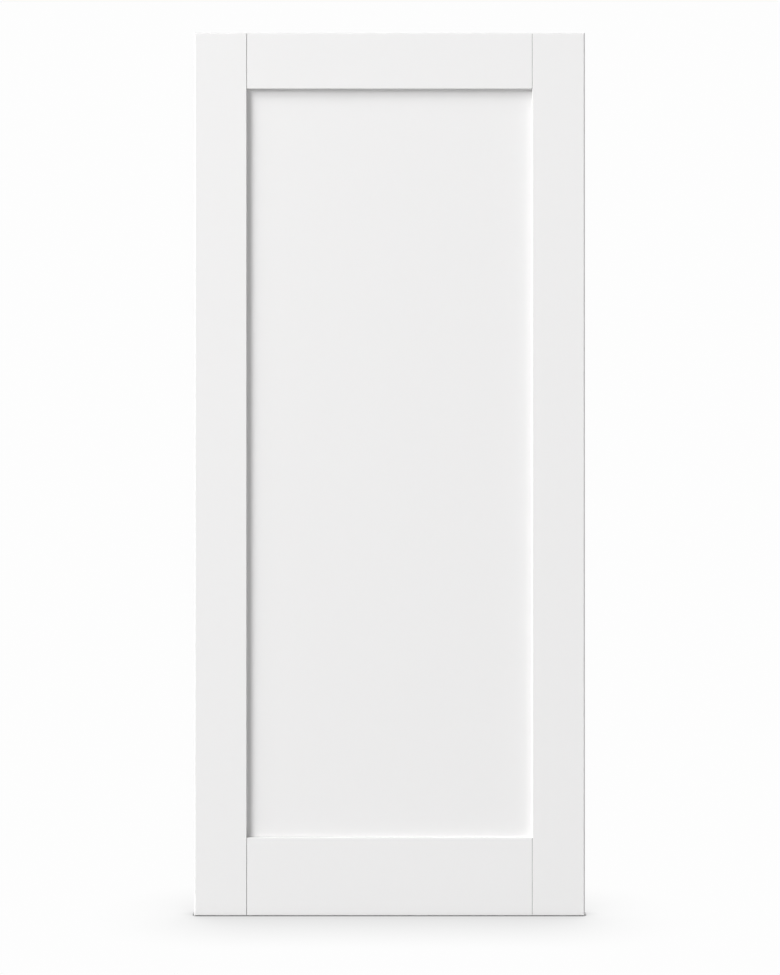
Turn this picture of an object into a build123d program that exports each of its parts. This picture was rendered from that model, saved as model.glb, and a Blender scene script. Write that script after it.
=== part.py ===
from build123d import *
import os

# One-panel shaker door leaf, in millimetres.
# X runs from the hinge edge to the lock edge, Y from front to back, Z up.
# The origin is on the hinge edge's flat face, half-way up and half-way through the thickness.

# Leaf
door_width = 930.0
door_height = 2100.0
door_thickness = 35.0

# Boards of the frame, measured across their length
stile_width = 125.0
top_rail_height = 133.0
bottom_rail_height = 185.5

# Rounded edges: the leaf's long edges, its top and bottom, and the edges beside the panel
long_edge_radius = 4.0
end_edge_radius = 2.0
inner_edge_radius = 0.8

# Joint lines: a narrow step round each rail's shoulder, with an eased lip
joint_line_width = 1.0
joint_line_depth = 3.0
joint_lip_radius = 0.3

# Flat panel and the groove that holds it
panel_thickness = 12.0
panel_edge_chamfer = 1.0
panel_face_clearance = 0.1
panel_swelling_gap = 2.0
groove_depth = 12.0

# Stub tenons that fill the stile grooves
tenon_face_clearance = 0.05
tenon_end_gap = 0.5

# Fluted dowels across each joint
dowel_diameter = 16.0
dowel_length = 120.0
dowel_chamfer = 1.5
dowel_flutes = 12
flute_depth = 0.6
bore_radial_clearance = 0.05
bore_end_gap = 1.0
top_rail_dowels = 2
bottom_rail_dowels = 3
dowel_to_outer_edge = 35.0
dowel_to_groove = 25.0

# Sizes that follow
groove_width = panel_thickness + 2 * panel_face_clearance
rail_length = door_width - 2 * stile_width
leaf_top = door_height / 2
leaf_bottom = -door_height / 2
opening_top = leaf_top - top_rail_height
opening_bottom = leaf_bottom + bottom_rail_height
hinge_shoulder = stile_width
lock_shoulder = door_width - stile_width


# Section of a board: outer edge on the local Y axis, grooved inner edge at the far side
def board_section(board_width, outer_radius):
    section = Pos(board_width / 2, 0) * Rectangle(board_width, door_thickness)
    section = fillet(section.vertices().group_by(Axis.X)[0], outer_radius)
    section = fillet(section.vertices().sort_by(Axis.X)[-2:], inner_edge_radius)
    groove = Pos(board_width - groove_depth / 2, 0) * Rectangle(groove_depth, groove_width)
    return section - groove


# The leaf seen from its edge: gives the stiles their rounded ends
def leaf_from_edge():
    outline = RectangleRounded(door_thickness, door_height, end_edge_radius)
    side_plane = Plane(origin=(0, 0, 0), x_dir=(0, 1, 0), z_dir=(1, 0, 0))
    return extrude(side_plane * outline, door_width)


# A rail seen from above: its shoulders step back near both faces, which leaves the joint lines
def rail_from_above():
    faces_length = rail_length - 2 * joint_line_width
    core_thickness = door_thickness - 2 * joint_line_depth
    outline = RectangleRounded(faces_length, door_thickness, joint_lip_radius)
    outline = outline + Rectangle(rail_length, core_thickness)
    top_plane = Plane(origin=(door_width / 2, 0, leaf_bottom))
    return extrude(top_plane * outline, door_height)


# Heights of the dowels in one rail, evenly spaced from its outer edge to its groove
def dowel_heights(outer_edge, inner_edge, count):
    inward = 1 if inner_edge > outer_edge else -1
    first = outer_edge + inward * dowel_to_outer_edge
    last = inner_edge - inward * (groove_depth + dowel_to_groove)
    pitch = (last - first) / (count - 1)
    return [first + number * pitch for number in range(count)]


top_dowel_heights = dowel_heights(leaf_top, opening_top, top_rail_dowels)
bottom_dowel_heights = dowel_heights(leaf_bottom, opening_bottom, bottom_rail_dowels)


# Blind bores along X, half in the stile and half in the rail
def dowel_bores(shoulder, heights):
    radius = dowel_diameter / 2 + bore_radial_clearance
    bore = Rot(0, 90, 0) * Cylinder(radius, dowel_length + 2 * bore_end_gap)
    return [Pos(shoulder, 0, height) * bore for height in heights]


def make_hinge_stile():
    section = board_section(stile_width, long_edge_radius)
    board = extrude(Plane(origin=(0, 0, leaf_bottom)) * section, door_height)
    board = board & leaf_from_edge()
    return board - dowel_bores(hinge_shoulder, top_dowel_heights + bottom_dowel_heights)


# The lock stile is the same board turned half round
def make_lock_stile():
    return Pos(door_width, 0, 0) * Rot(0, 0, 180) * make_hinge_stile()


# A rail lies between the stiles, with a stub tenon past each shoulder above or below its groove
def make_rail(outer_edge, inner_edge, heights):
    inward = 1 if inner_edge > outer_edge else -1
    start = lock_shoulder if inward > 0 else hinge_shoulder
    section_plane = Plane(origin=(start, 0, outer_edge), x_dir=(0, 0, inward), z_dir=(-inward, 0, 0))
    section = board_section(abs(inner_edge - outer_edge), end_edge_radius)
    board = extrude(section_plane * section, rail_length)
    board = board & rail_from_above()
    groove_floor = inner_edge - inward * groove_depth
    tenon_length = rail_length + 2 * (groove_depth - tenon_end_gap)
    tenon_thickness = groove_width - 2 * tenon_face_clearance
    tenon = Box(tenon_length, tenon_thickness, abs(groove_floor - outer_edge))
    board = board + Pos(door_width / 2, 0, (groove_floor + outer_edge) / 2) * tenon
    return board - dowel_bores(hinge_shoulder, heights) - dowel_bores(lock_shoulder, heights)


# The panel floats in the grooves of all four boards
def make_panel():
    reach = groove_depth - panel_swelling_gap
    width = rail_length + 2 * reach
    height = opening_top - opening_bottom + 2 * reach
    board = Box(width, panel_thickness, height)
    face_edges = board.faces().filter_by(Axis.Y).edges()
    board = chamfer(face_edges, panel_edge_chamfer)
    return Pos(door_width / 2, 0, (opening_top + opening_bottom) / 2) * board


# A round pin with chamfered ends and V-shaped flutes along it, which let the glue out
def make_dowel(shoulder, height):
    radius = dowel_diameter / 2
    pin = Cylinder(radius, dowel_length)
    pin = chamfer(pin.edges().filter_by(GeomType.CIRCLE), dowel_chamfer)
    flute_side = flute_depth * 2**0.5
    flute = Rot(0, 0, 45) * Box(flute_side, flute_side, dowel_length)
    pin = pin - PolarLocations(radius, dowel_flutes) * flute
    return Pos(shoulder, 0, height) * Rot(0, 90, 0) * pin


def make_dowels():
    dowels = {}
    for stile_name, shoulder in (("hinge", hinge_shoulder), ("lock", lock_shoulder)):
        for rail_name, heights in (("top", top_dowel_heights), ("bottom", bottom_dowel_heights)):
            for number, height in enumerate(heights, start=1):
                dowels[f"dowel_{rail_name}_{stile_name}_{number}"] = make_dowel(shoulder, height)
    return dowels


pieces = {
    "hinge_stile": make_hinge_stile(),
    "lock_stile": make_lock_stile(),
    "top_rail": make_rail(leaf_top, opening_top, top_dowel_heights),
    "bottom_rail": make_rail(leaf_bottom, opening_bottom, bottom_dowel_heights),
    "panel": make_panel(),
}
pieces.update(make_dowels())

os.makedirs("parts", exist_ok=True)
for node, solid in pieces.items():
    export_step(solid, f"parts/{node}.step")
    print(node, round(solid.volume / 1e6, 4), "litres")
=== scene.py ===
import math
import bpy
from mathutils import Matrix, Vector


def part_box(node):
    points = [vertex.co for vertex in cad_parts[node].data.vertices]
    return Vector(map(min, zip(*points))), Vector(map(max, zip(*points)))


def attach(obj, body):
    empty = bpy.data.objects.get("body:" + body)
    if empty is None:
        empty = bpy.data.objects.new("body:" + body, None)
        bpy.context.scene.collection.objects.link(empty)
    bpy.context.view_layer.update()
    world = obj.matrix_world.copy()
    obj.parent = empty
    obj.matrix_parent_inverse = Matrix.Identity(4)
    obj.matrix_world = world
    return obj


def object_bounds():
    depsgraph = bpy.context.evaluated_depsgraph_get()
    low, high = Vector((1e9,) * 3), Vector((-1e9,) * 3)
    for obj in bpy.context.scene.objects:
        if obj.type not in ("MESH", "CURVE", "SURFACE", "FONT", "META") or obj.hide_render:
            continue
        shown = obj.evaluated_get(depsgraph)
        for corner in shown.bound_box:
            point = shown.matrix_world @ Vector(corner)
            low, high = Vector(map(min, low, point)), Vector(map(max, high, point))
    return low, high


# White one-panel door leaf, standing on a white studio floor.
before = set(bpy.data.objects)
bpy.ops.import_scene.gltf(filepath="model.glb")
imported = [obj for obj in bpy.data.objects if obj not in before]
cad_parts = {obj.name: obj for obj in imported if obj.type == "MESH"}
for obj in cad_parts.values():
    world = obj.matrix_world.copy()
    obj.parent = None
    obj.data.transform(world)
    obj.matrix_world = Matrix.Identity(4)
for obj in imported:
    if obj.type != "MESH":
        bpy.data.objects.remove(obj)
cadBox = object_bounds()
leafLow, leafHigh = cadBox
leafMiddle = (leafLow + leafHigh) / 2
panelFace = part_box("panel")[1].y
opening = {
    "left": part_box("hinge_stile")[1].x,
    "right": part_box("lock_stile")[0].x,
    "foot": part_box("bottom_rail")[1].z,
    "head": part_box("top_rail")[0].z,
}
print("frame loaded:", len(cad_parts), "nodes")


# Small helpers for node trees

def addNode(tree, kind, **settings):
    node = tree.nodes.new(kind)
    for name, value in settings.items():
        setattr(node, name, value)
    return node


def feed(tree, socket, value):
    if isinstance(value, bpy.types.NodeSocket):
        tree.links.new(value, socket)
    else:
        socket.default_value = value


def addMath(tree, operation, first, second=None):
    node = addNode(tree, "ShaderNodeMath", operation=operation)
    feed(tree, node.inputs[0], first)
    if second is not None:
        feed(tree, node.inputs[1], second)
    return node.outputs[0]


def addMapRange(tree, value, fromLow, fromHigh, toLow, toHigh):
    node = addNode(tree, "ShaderNodeMapRange")
    for name, setting in (("Value", value), ("From Min", fromLow), ("From Max", fromHigh),
                          ("To Min", toLow), ("To Max", toHigh)):
        feed(tree, node.inputs[name], setting)
    return node.outputs["Result"]


noiseMiddle = 0.5  # the value that a noise swings about


def addNoise(tree, place, scale, detail):
    node = addNode(tree, "ShaderNodeTexNoise")
    feed(tree, node.inputs["Vector"], place)
    feed(tree, node.inputs["Scale"], scale)
    node.inputs["Detail"].default_value = detail
    return node.outputs["Fac"]


def addColourMix(tree, factor, first, second):
    node = addNode(tree, "ShaderNodeMix", data_type="RGBA")
    feed(tree, node.inputs["Factor"], factor)
    feed(tree, node.inputs["A"], first)
    feed(tree, node.inputs["B"], second)
    return node.outputs["Result"]


def newMaterial(name):
    material = bpy.data.materials.new(name)
    material.use_nodes = True
    material.node_tree.nodes.clear()
    return material


def newGroup(name, inputs, outputs):
    group = bpy.data.node_groups.new(name, "ShaderNodeTree")
    face = group.interface
    for socketName, value in inputs.items():
        socket = face.new_socket(socketName, in_out="INPUT", socket_type="NodeSocketFloat")
        socket.default_value = value
    for socketName, kind in outputs.items():
        face.new_socket(socketName, in_out="OUTPUT", socket_type="NodeSocket" + kind)
    given = addNode(group, "NodeGroupInput").outputs
    out = addNode(group, "NodeGroupOutput").inputs
    return group, given, out


def placeGroup(tree, group, values):
    node = addNode(tree, "ShaderNodeGroup", node_tree=group)
    for name, value in values.items():
        node.inputs[name].default_value = value
    return node.outputs


def ownPlace(tree):
    return addNode(tree, "ShaderNodeTexCoord").outputs["Object"]


# Camera: level, square to the leaf, opposite its middle
photoWidth, photoHeight = 780, 975
cameraSettings = {
    "distance": 3.6,  # from the front face
    "leafWidthPx": 391.1,  # how wide the leaf is in the picture
    "leafMiddlePx": 389.5,  # picture column of the leaf's middle
    "leafFootPx": 915.85,  # picture row where the leaf meets the floor
    "sensor": 36.0,
}


def makeCamera(s):
    pxPerMetre = s["leafWidthPx"] / (leafHigh.x - leafLow.x)
    data = bpy.data.cameras.new("camera")
    data.sensor_width = s["sensor"]
    data.lens = pxPerMetre * s["distance"] * s["sensor"] / photoHeight
    camera = bpy.data.objects.new("camera", data)
    bpy.context.scene.collection.objects.link(camera)
    sideways = (photoWidth / 2 - s["leafMiddlePx"]) / pxPerMetre
    height = (s["leafFootPx"] - photoHeight / 2) / pxPerMetre
    camera.location = (leafMiddle.x + sideways, leafLow.y - s["distance"], leafLow.z + height)
    camera.rotation_euler = (math.radians(90), 0, 0)  # level, looking straight at the leaf
    bpy.context.scene.camera = camera


makeCamera(cameraSettings)
bpy.context.scene.view_settings.view_transform = "Standard"
print("camera made")


# Light: round softboxes, a bank of them in front of the leaf and two behind it, in a dim room
lightSettings = {
    "ambient": 0.085,  # what the room adds to the leaf
    "backdropWhite": 0.985,  # what the camera sees behind it
}
softboxes = {
    # name: degrees left of square-on, degrees up, degrees across, strength, metres away
    "key": (59.5, 48.0, 24.0, 1.12, 40.0),
    "high": (45.0, 50.0, 26.0, 0.5, 16.0),
    "flank": (67.5, 42.5, 24.0, 0.87, 40.0),
    "middle": (50.0, 35.0, 24.0, 0.44, 30.0),
    "low": (45.0, 19.5, 24.0, 0.89, 30.0),
    "lowFlank": (59.5, 17.0, 24.0, 0.84, 30.0),
    "opposite": (-35.0, 14.0, 26.0, 0.27, 30.0),
}
rearSoftboxes = {
    "rearKey": (-38.0, 45.0, 24.0, 2.6, 30.0),
    "rearLow": (0.0, 15.0, 26.0, 0.7, 30.0),
}


def makeSoftbox(name, facing, side, rise, across, strength, distance):
    data = bpy.data.lights.new(name, "AREA")
    data.shape = "DISK"
    data.size = 2 * distance * math.tan(math.radians(across / 2))
    data.energy = strength * math.pi * distance ** 2  # the same light on the leaf from any distance
    box = bpy.data.objects.new(name, data)
    bpy.context.scene.collection.objects.link(box)
    side, rise = math.radians(side), math.radians(rise)
    level = Vector((-math.sin(side), facing * math.cos(side), 0))
    towards = level * math.cos(rise) + Vector((0, 0, math.sin(rise)))
    box.location = leafMiddle + distance * towards
    box.rotation_euler = towards.to_track_quat("Z", "Y").to_euler()


def makeLights():
    for facing, bank in ((-1, softboxes), (1, rearSoftboxes)):
        for name, values in bank.items():
            makeSoftbox(name, facing, *values)


def seenDirectly(tree):
    rays = addNode(tree, "ShaderNodeLightPath").outputs
    either = addMath(tree, "MAXIMUM", rays["Is Camera Ray"], rays["Is Glossy Ray"])
    return addMath(tree, "MAXIMUM", either, rays["Is Transmission Ray"])


def makeWorld(s):
    world = bpy.data.worlds.new("studio")
    bpy.context.scene.world = world
    world.use_nodes = True
    tree = world.node_tree
    tree.nodes.clear()
    mix = addNode(tree, "ShaderNodeMixShader")
    feed(tree, mix.inputs["Fac"], seenDirectly(tree))
    for place, strength in ((1, s["ambient"]), (2, s["backdropWhite"])):
        light = addNode(tree, "ShaderNodeBackground")
        light.inputs["Color"].default_value = (1, 1, 1, 1)
        light.inputs["Strength"].default_value = strength
        feed(tree, mix.inputs[place], light.outputs[0])
    feed(tree, addNode(tree, "ShaderNodeOutputWorld").inputs["Surface"], mix.outputs[0])


makeLights()
makeWorld(lightSettings)
print("lights made")


# Floor: a pale glow to the leaf, painted darker right at its foot, and to the camera white,
# with a painted soft shadow margin and a painted fine dark contact line where the leaf stands,
# darker the nearer the leaf is. Reaches are in metres, and a tone says how much light is left right
# at the foot.
floorSettings = {
    "halfSize": 30.0,
    "glow": 0.56,  # what the leaf gets from the floor
    "glowShadeReach": 0.01,
    "glowShadeTone": 0.05,
    "paintedMarginReach": 0.26,
    "paintedMarginTone": 0.77,
    "paintedNearReach": 0.035,
    "paintedNearTone": 0.94,
    "paintedLineReach": 0.006,
    "paintedLineTone": 0.0,
    "openTone": 0.985,  # what the camera sees away from the leaf
    "footOpenness": 0.5,  # how open the floor is right at a wall
    "samples": 16,
}


def makeFloor(s):
    half = s["halfSize"]
    corners = [(-half, -half), (half, -half), (half, half), (-half, half)]
    mesh = bpy.data.meshes.new("studioFloor")
    mesh.from_pydata([(leafMiddle.x + x, y, leafLow.z) for x, y in corners], [], [(0, 1, 2, 3)])
    floor = bpy.data.objects.new("studioFloor", mesh)
    bpy.context.scene.collection.objects.link(floor)
    material = newMaterial("studioFloor")
    tree = material.node_tree

    def shade(reach, tone):
        nearness = addNode(tree, "ShaderNodeAmbientOcclusion", samples=s["samples"])
        nearness.inputs["Distance"].default_value = reach
        return addMapRange(tree, nearness.outputs["AO"], s["footOpenness"], 1.0, tone, 1.0)

    # painted shadow on the floor: a fine contact line, a near shadow and a soft margin, darker the
    # nearer the leaf is
    paintedLine = shade(s["paintedLineReach"], s["paintedLineTone"])
    paintedNearShadow = shade(s["paintedNearReach"], s["paintedNearTone"])
    paintedMargin = shade(s["paintedMarginReach"], s["paintedMarginTone"])
    # painted shade: the glow is darker right at the leaf's foot
    glow = addMath(tree, "MULTIPLY", shade(s["glowShadeReach"], s["glowShadeTone"]), s["glow"])
    # the white that the camera sees, darkened by these painted shadows
    white = addMath(tree, "MULTIPLY", addMath(tree, "MULTIPLY", paintedLine, paintedNearShadow), paintedMargin)
    white = addMath(tree, "MULTIPLY", white, s["openTone"])
    mix = addNode(tree, "ShaderNodeMixShader")
    feed(tree, mix.inputs["Fac"], seenDirectly(tree))
    for place, strength in ((1, glow), (2, white)):
        light = addNode(tree, "ShaderNodeEmission")
        feed(tree, light.inputs["Strength"], strength)
        feed(tree, mix.inputs[place], light.outputs[0])
    feed(tree, addNode(tree, "ShaderNodeOutputMaterial").inputs["Surface"], mix.outputs[0])
    mesh.materials.append(material)


makeFloor(floorSettings)
print("floor made")


# Where the lacquer reaches: the leaf's outside and the opening's walls,
# but no groove, bore or tenon
reachSettings = {
    "coatDepth": 0.001,  # how far the lacquer goes down into the joint lines
    "primerShadeDepth": 0.003,  # how far the dark grey primer below it goes, to the joint lines' floor: painted shade in the joints
    "rim": 0.0025,  # how far in from the leaf's edges counts as outside
    "slack": 0.00005,  # keeps the mask clear of the faces that it bounds
}


def makePaintReach():
    sizes = ("Middle X", "Middle Z", "Half Width", "Half Height", "Coat Depth", "Primer Shade Depth",
             "Opening Middle X", "Opening Middle Z", "Opening Half Width", "Opening Half Height",
             "Panel Face")
    masks = {"Painted": "Float", "Primer Shade": "Float"}
    group, given, out = newGroup("paintReach", dict.fromkeys(sizes, 0.0), masks)
    split = addNode(group, "ShaderNodeSeparateXYZ")
    feed(group, split.inputs[0], ownPlace(group))

    def compare(operation, axis, middle, half):
        offset = addMath(group, "SUBTRACT", split.outputs[axis], given[middle])
        return addMath(group, operation, addMath(group, "ABSOLUTE", offset), given[half])

    deepY = addMath(group, "ABSOLUTE", split.outputs["Y"])
    skin = addMath(group, "GREATER_THAN", deepY, given["Coat Depth"])
    pastSide = compare("GREATER_THAN", "X", "Middle X", "Half Width")
    pastEnd = compare("GREATER_THAN", "Z", "Middle Z", "Half Height")
    across = compare("LESS_THAN", "X", "Opening Middle X", "Opening Half Width")
    along = compare("LESS_THAN", "Z", "Opening Middle Z", "Opening Half Height")
    above = addMath(group, "GREATER_THAN", deepY, given["Panel Face"])
    inOpening = addMath(group, "MULTIPLY", addMath(group, "MULTIPLY", across, along), above)
    outside = addMath(group, "MAXIMUM", pastSide, pastEnd)
    painted = addMath(group, "MAXIMUM", addMath(group, "MAXIMUM", skin, outside), inOpening)
    feed(group, out["Painted"], painted)
    # the joint lines' walls and floor below the lacquer, where dark grey is painted as shade
    feed(group, out["Primer Shade"], addMath(group, "GREATER_THAN", deepY, given["Primer Shade Depth"]))
    return group


def paintReachValues(s):
    rim, slack = s["rim"], s["slack"]
    return {
        "Middle X": leafMiddle.x,
        "Middle Z": leafMiddle.z,
        "Half Width": (leafHigh.x - leafLow.x) / 2 - rim,
        "Half Height": (leafHigh.z - leafLow.z) / 2 - rim,
        "Coat Depth": leafHigh.y - s["coatDepth"],
        "Primer Shade Depth": leafHigh.y - s["primerShadeDepth"] - slack,
        "Opening Middle X": (opening["left"] + opening["right"]) / 2,
        "Opening Middle Z": (opening["foot"] + opening["head"]) / 2,
        "Opening Half Width": (opening["right"] - opening["left"]) / 2 + slack,
        "Opening Half Height": (opening["head"] - opening["foot"]) / 2 + slack,
        "Panel Face": panelFace - slack,
    }


# Sprayed lacquer: a fine ripple, specks of dust under the coat, faint clouds of tone and sheen,
# and painted shade: a greyer coat on every surface that turns away from the front and back faces
spraySettings = {
    "sockets": {
        "Ripple Size": 0.0035,
        "Ripple Depth": 0.000004,
        "Speck Size": 0.0008,
        "Speck Depth": 0.00001,
        "Cloud Size": 0.15,
        "Cloud": 0.004,
        "Sheen Size": 0.02,
        "Sheen Change": 0.03,
        "Coat": 0.0,
        "Edge Painted Shade": 0.15,
    },
    "rippleDetail": 1.5,
    "speckDetail": 0.0,
    "speckStart": 0.72,  # the noise value at which a speck begins to rise
    "speckTop": 0.8,
    "cloudDetail": 3.0,
    "sheenDetail": 4.0,
}


def makeSpray(s):
    results = {"Height": "Float", "Tone": "Float", "Sheen": "Float"}
    group, given, out = newGroup("spray", s["sockets"], results)
    shifted = addNode(group, "ShaderNodeVectorMath", operation="ADD")
    feed(group, shifted.inputs[0], ownPlace(group))
    feed(group, shifted.inputs[1], given["Coat"])
    place = shifted.outputs[0]

    def perMetre(size):
        return addMath(group, "DIVIDE", 1.0, given[size])

    ripple = addNoise(group, place, perMetre("Ripple Size"), s["rippleDetail"])
    speck = addNoise(group, place, perMetre("Speck Size"), s["speckDetail"])
    rareSpeck = addMapRange(group, speck, s["speckStart"], s["speckTop"], 0.0, 1.0)
    height = addMath(group, "ADD", addMath(group, "MULTIPLY", ripple, given["Ripple Depth"]),
                     addMath(group, "MULTIPLY", rareSpeck, given["Speck Depth"]))
    cloud = addNoise(group, place, perMetre("Cloud Size"), s["cloudDetail"])
    cloud = addMath(group, "SUBTRACT", cloud, noiseMiddle)
    tone = addMath(group, "ADD", 1.0, addMath(group, "MULTIPLY", cloud, given["Cloud"]))
    # painted shade: greyer the further a surface turns away from the front and back faces
    facing = addNode(group, "ShaderNodeSeparateXYZ")
    feed(group, facing.inputs[0], addNode(group, "ShaderNodeTexCoord").outputs["Normal"])
    paintedEdgeShade = addMath(group, "SUBTRACT", 1.0, addMath(group, "ABSOLUTE", facing.outputs["Y"]))
    tone = addMath(group, "SUBTRACT", tone, addMath(group, "MULTIPLY", paintedEdgeShade, given["Edge Painted Shade"]))
    sheen = addNoise(group, place, perMetre("Sheen Size"), s["sheenDetail"])
    sheen = addMath(group, "SUBTRACT", sheen, noiseMiddle)
    sheen = addMath(group, "MULTIPLY", sheen, given["Sheen Change"])
    feed(group, out["Height"], height)
    feed(group, out["Tone"], tone)
    feed(group, out["Sheen"], sheen)
    return group


# Raw fibreboard, which only the hidden joints show: short pressed fibres, paler towards the core
fibreSettings = {
    "sockets": {
        "Fibre Size": 0.0012,
        "Stretch": 3.0,  # how much flatter the fibres lie through the thickness
        "Crust Depth": 0.0145,  # how far from the middle the board is at its darkest
        "Roughness Depth": 0.00003,
    },
    "detail": 5.0,
    "core": (0.56, 0.42, 0.28, 1),
    "crust": (0.43, 0.30, 0.18, 1),
    "gap": (0.33, 0.22, 0.13, 1),
    "gapEnd": 0.3,  # the noise values between which a gap turns into a fibre
    "fibreStart": 0.7,
}


def makeFibre(s):
    results = {"Colour": "Color", "Height": "Float"}
    group, given, out = newGroup("fibreboard", s["sockets"], results)
    place = ownPlace(group)
    split = addNode(group, "ShaderNodeSeparateXYZ")
    feed(group, split.inputs[0], place)
    squash = addNode(group, "ShaderNodeCombineXYZ")
    for axis in "XZ":
        feed(group, squash.inputs[axis], split.outputs[axis])
    stretched = addMath(group, "MULTIPLY", split.outputs["Y"], given["Stretch"])
    feed(group, squash.inputs["Y"], stretched)
    perMetre = addMath(group, "DIVIDE", 1.0, given["Fibre Size"])
    fibre = addNoise(group, squash.outputs[0], perMetre, s["detail"])
    crust = addMath(group, "ABSOLUTE", split.outputs["Y"])
    crust = addMath(group, "DIVIDE", crust, given["Crust Depth"])
    board = addColourMix(group, crust, s["core"], s["crust"])
    shade = addMapRange(group, fibre, s["gapEnd"], s["fibreStart"], 0.0, 1.0)
    feed(group, out["Colour"], addColourMix(group, shade, s["gap"], board))
    feed(group, out["Height"], addMath(group, "MULTIPLY", fibre, given["Roughness Depth"]))
    return group


paintReach = makePaintReach()
spray = makeSpray(spraySettings)
fibre = makeFibre(fibreSettings)
lacquerSettings = {
    "white": {"Red": 0.829, "Green": 0.825, "Blue": 0.824},
    # dark grey in the joint lines below the lacquer: painted shade in the joints, given as primer
    "primerPaintedShade": (0.3, 0.3, 0.3, 1),
    "roughness": 0.4,
    "rawRoughness": 0.85,
    # what each board asks of the spray; Coat moves it to its own part of the noise
    "stileLacquer": {"Cloud Size": 0.22, "Ripple Size": 0.0035, "Coat": 0.0},
    "railLacquer": {"Cloud Size": 0.16, "Ripple Size": 0.0035, "Coat": 3.0},
    "panelLacquer": {"Cloud Size": 0.3, "Ripple Size": 0.004, "Coat": 7.0},
    "beadLacquer": {"Cloud Size": 0.3, "Ripple Size": 0.004, "Coat": 11.0},
}
boards = {
    "stileLacquer": ("hinge_stile", "lock_stile"),
    "railLacquer": ("top_rail", "bottom_rail"),
    "panelLacquer": ("panel",),
}


def makeLacquer(name, s):
    material = newMaterial(name)
    tree = material.node_tree
    reach = placeGroup(tree, paintReach, paintReachValues(reachSettings))
    painted = reach["Painted"]
    coat = placeGroup(tree, spray, s[name])
    raw = placeGroup(tree, fibre, {})
    white = addNode(tree, "ShaderNodeCombineColor")
    for channel, share in s["white"].items():
        feed(tree, white.inputs[channel], addMath(tree, "MULTIPLY", coat["Tone"], share))
    # below the lacquer: dark grey near the faces, painted shade in the joint lines, and raw
    # fibreboard deeper in
    rawAndShadedPrimer = addColourMix(tree, reach["Primer Shade"], raw["Colour"], s["primerPaintedShade"])
    shader = addNode(tree, "ShaderNodeBsdfPrincipled")
    feed(tree, shader.inputs["Base Color"], addColourMix(tree, painted, rawAndShadedPrimer, white.outputs[0]))
    satin = addMath(tree, "ADD", coat["Sheen"], s["roughness"])
    rough = addMapRange(tree, painted, 0.0, 1.0, s["rawRoughness"], satin)
    feed(tree, shader.inputs["Roughness"], rough)
    bump = addNode(tree, "ShaderNodeBump")
    bump.inputs["Distance"].default_value = 1.0  # both heights are in metres
    height = addMapRange(tree, painted, 0.0, 1.0, raw["Height"], coat["Height"])
    feed(tree, bump.inputs["Height"], height)
    feed(tree, shader.inputs["Normal"], bump.outputs[0])
    feed(tree, addNode(tree, "ShaderNodeOutputMaterial").inputs["Surface"], shader.outputs[0])
    return material


def giveMaterial(nodeName, material):
    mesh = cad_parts[nodeName].data
    mesh.materials.clear()
    mesh.materials.append(material)


for lacquerName, nodeNames in boards.items():
    lacquer = makeLacquer(lacquerName, lacquerSettings)
    for nodeName in nodeNames:
        giveMaterial(nodeName, lacquer)
print("boards lacquered")


# Beech dowels: fine grain along the pin, short dark flecks, and growth rings across its ends
beechSettings = {
    "pale": (0.68, 0.47, 0.29, 1),
    "dark": (0.52, 0.33, 0.18, 1),
    "fleckColour": (0.36, 0.21, 0.11, 1),
    "ringsPerMetre": 420.0,
    "ringDistortion": 1.5,
    "grainStretch": 0.04,  # how much slower the grain changes along the pin
    "grainPerMetre": 2600.0,
    "grainDetail": 3.0,
    "grainDepth": 0.00002,
    "fleckStretch": 0.16,
    "flecksPerMetre": 3200.0,
    "fleckDetail": 1.0,
    "fleckStart": 0.66,  # the noise value at which a fleck begins to show
    "fleckFull": 0.7,
    "fleckStrength": 0.8,
    "roughness": 0.62,
    "roughnessSwing": 0.08,
}


def makeBeech(s):
    material = newMaterial("beech")
    tree = material.node_tree
    place = ownPlace(tree)

    def stretched(share):
        mapping = addNode(tree, "ShaderNodeMapping")
        feed(tree, mapping.inputs["Vector"], place)
        mapping.inputs["Scale"].default_value = (share, 1, 1)
        return mapping.outputs[0]

    rings = addNode(tree, "ShaderNodeTexWave", wave_type="RINGS", rings_direction="X")
    feed(tree, rings.inputs["Vector"], stretched(s["grainStretch"]))
    rings.inputs["Scale"].default_value = s["ringsPerMetre"] / math.tau
    rings.inputs["Distortion"].default_value = s["ringDistortion"]
    grain = addNoise(tree, stretched(s["grainStretch"]), s["grainPerMetre"], s["grainDetail"])
    mixed = addMath(tree, "ADD", rings.outputs["Fac"], grain)
    mixed = addMath(tree, "MULTIPLY", mixed, 0.5)  # the mean of rings and grain
    wood = addColourMix(tree, mixed, s["dark"], s["pale"])
    fleck = addNoise(tree, stretched(s["fleckStretch"]), s["flecksPerMetre"], s["fleckDetail"])
    fleck = addMapRange(tree, fleck, s["fleckStart"], s["fleckFull"], 0.0, s["fleckStrength"])
    shader = addNode(tree, "ShaderNodeBsdfPrincipled")
    feed(tree, shader.inputs["Base Color"], addColourMix(tree, fleck, wood, s["fleckColour"]))
    roughest, smoothest = s["roughness"] + s["roughnessSwing"], s["roughness"] - s["roughnessSwing"]
    rough = addMapRange(tree, grain, 0.0, 1.0, roughest, smoothest)
    feed(tree, shader.inputs["Roughness"], rough)
    bump = addNode(tree, "ShaderNodeBump")
    bump.inputs["Distance"].default_value = s["grainDepth"]
    feed(tree, bump.inputs["Height"], grain)
    feed(tree, shader.inputs["Normal"], bump.outputs[0])
    feed(tree, addNode(tree, "ShaderNodeOutputMaterial").inputs["Surface"], shader.outputs[0])
    return material


beech = makeBeech(beechSettings)
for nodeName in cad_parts:
    if nodeName.startswith("dowel"):
        giveMaterial(nodeName, beech)
print("dowels finished")


# Lacquer that has run into the corner round the panel, front and back: a slim hollow fillet
beadSettings = {
    "radius": 0.0006,
    "steps": 6,
}


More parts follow.
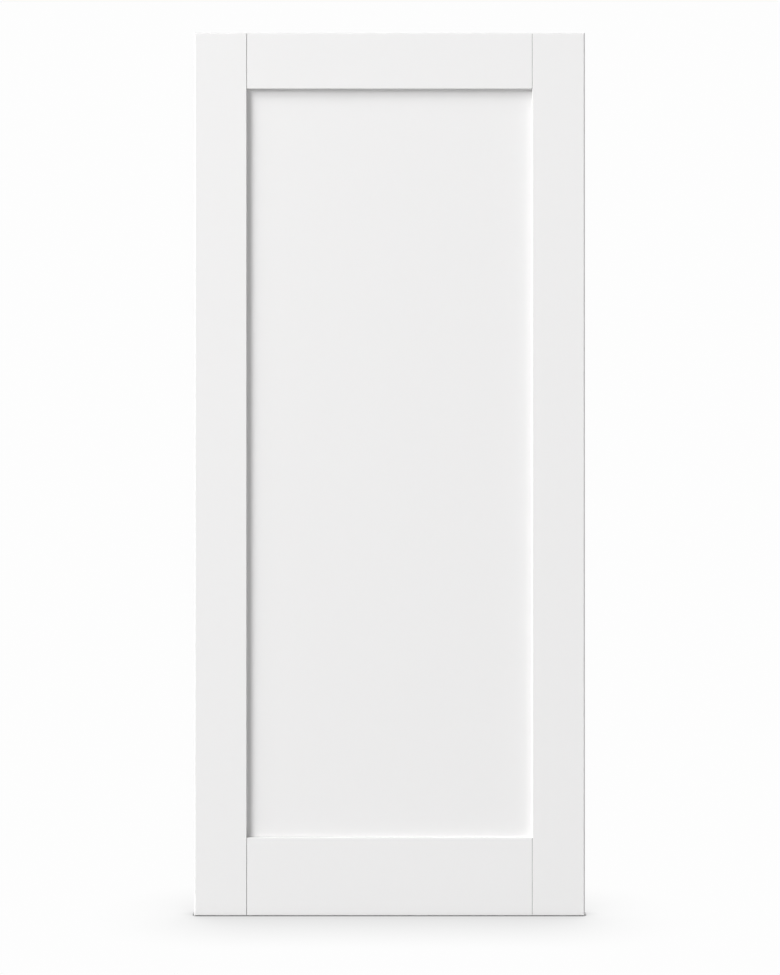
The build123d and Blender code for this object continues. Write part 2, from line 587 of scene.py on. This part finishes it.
def makeBeadTree():
    tree = bpy.data.node_groups.new("cornerBead", "GeometryNodeTree")
    kinds = {"Width": "Float", "Height": "Float", "Middle X": "Float", "Middle Z": "Float",
             "Face Depth": "Float", "Radius": "Float", "Steps": "Int", "Finish": "Material"}
    sockets = {}
    for name, kind in kinds.items():
        socket = tree.interface.new_socket(name, in_out="INPUT", socket_type="NodeSocket" + kind)
        sockets[name] = socket.identifier
    tree.interface.new_socket("Geometry", in_out="OUTPUT", socket_type="NodeSocketGeometry")
    given = addNode(tree, "NodeGroupInput").outputs

    def vector(**parts):
        node = addNode(tree, "ShaderNodeCombineXYZ")
        for axis, value in parts.items():
            feed(tree, node.inputs[axis], value)
        return node.outputs[0]

    def moved(geometry, **settings):
        node = addNode(tree, "GeometryNodeTransform")
        feed(tree, node.inputs["Geometry"], geometry)
        for name, value in settings.items():
            feed(tree, node.inputs[name], value)
        return node.outputs["Geometry"]

    # The section: an arc, closed by a point in the corner between panel and board
    radius = given["Radius"]
    arc = addNode(tree, "GeometryNodeCurveArc", mode="RADIUS")
    feed(tree, arc.inputs["Resolution"], given["Steps"])
    feed(tree, arc.inputs["Radius"], radius)
    arc.inputs["Sweep Angle"].default_value = math.pi / 2
    arc.inputs["Connect Center"].default_value = True
    isCorner = addNode(tree, "FunctionNodeCompare", data_type="INT", operation="EQUAL")
    feed(tree, isCorner.inputs[2], addNode(tree, "GeometryNodeInputIndex").outputs[0])
    feed(tree, isCorner.inputs[3], given["Steps"])  # the centre comes after the arc's points
    section = addNode(tree, "GeometryNodeSetPosition")
    less = addMath(tree, "MULTIPLY", radius, -1.0)
    atCorner = vector(X=radius, Y=radius)
    feed(tree, section.inputs["Geometry"], arc.outputs["Curve"])
    feed(tree, section.inputs["Selection"], isCorner.outputs[0])
    feed(tree, section.inputs["Offset"], atCorner)
    section = moved(section.outputs["Geometry"], Translation=vector(X=less, Y=less))
    section = moved(section, Scale=(2 ** 0.5, 1.0, 1.0))  # the path's corners stand at 45 degrees

    # The path: the opening's outline, stood upright, and once more turned round to the back
    path = addNode(tree, "GeometryNodeCurvePrimitiveQuadrilateral", mode="RECTANGLE")
    feed(tree, path.inputs["Width"], given["Width"])
    feed(tree, path.inputs["Height"], given["Height"])
    sweep = addNode(tree, "GeometryNodeCurveToMesh")
    feed(tree, sweep.inputs["Curve"], path.outputs["Curve"])
    feed(tree, sweep.inputs["Profile Curve"], section)
    outward = addNode(tree, "GeometryNodeFlipFaces")
    feed(tree, outward.inputs["Mesh"], sweep.outputs["Mesh"])
    upright = moved(outward.outputs["Mesh"], Rotation=(math.pi / 2, 0.0, 0.0))
    frontFace = addMath(tree, "MULTIPLY", given["Face Depth"], -1.0)
    front = moved(upright, Translation=vector(Y=frontFace))
    both = addNode(tree, "GeometryNodeJoinGeometry")
    for side in (front, moved(front, Rotation=(0.0, 0.0, math.pi))):
        feed(tree, both.inputs[0], side)
    placed = moved(both.outputs[0], Translation=vector(X=given["Middle X"], Z=given["Middle Z"]))
    solid = addNode(tree, "GeometryNodeRealizeInstances")
    feed(tree, solid.inputs[0], placed)
    finish = addNode(tree, "GeometryNodeSetMaterial")
    feed(tree, finish.inputs["Geometry"], solid.outputs[0])
    feed(tree, finish.inputs["Material"], given["Finish"])
    feed(tree, addNode(tree, "NodeGroupOutput").inputs[0], finish.outputs[0])
    return tree, sockets


def makeCornerBead(s, finish):
    tree, sockets = makeBeadTree()
    holder = bpy.data.objects.new("beadHolder", bpy.data.meshes.new("beadHolder"))
    bpy.context.scene.collection.objects.link(holder)
    grower = holder.modifiers.new("cornerBead", "NODES")
    grower.node_group = tree
    values = {
        "Width": opening["right"] - opening["left"],
        "Height": opening["head"] - opening["foot"],
        "Middle X": (opening["right"] + opening["left"]) / 2,
        "Middle Z": (opening["head"] + opening["foot"]) / 2,
        "Face Depth": panelFace,
        "Radius": s["radius"],
        "Steps": s["steps"],
        "Finish": finish,
    }
    for name, value in values.items():
        grower[sockets[name]] = value
    bpy.context.view_layer.update()
    grown = holder.evaluated_get(bpy.context.evaluated_depsgraph_get())
    mesh = bpy.data.meshes.new_from_object(grown)
    mesh.materials.pop(index=0)  # an empty slot that Set Material leaves
    holder.modifiers.remove(grower)
    bpy.data.objects.remove(holder)
    bead = bpy.data.objects.new("corner_bead", mesh)
    bpy.context.scene.collection.objects.link(bead)
    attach(bead, "root")
    return bead


cornerBead = makeCornerBead(beadSettings, makeLacquer("beadLacquer", lacquerSettings))
print("corner bead grown:", len(cornerBead.data.polygons), "faces")
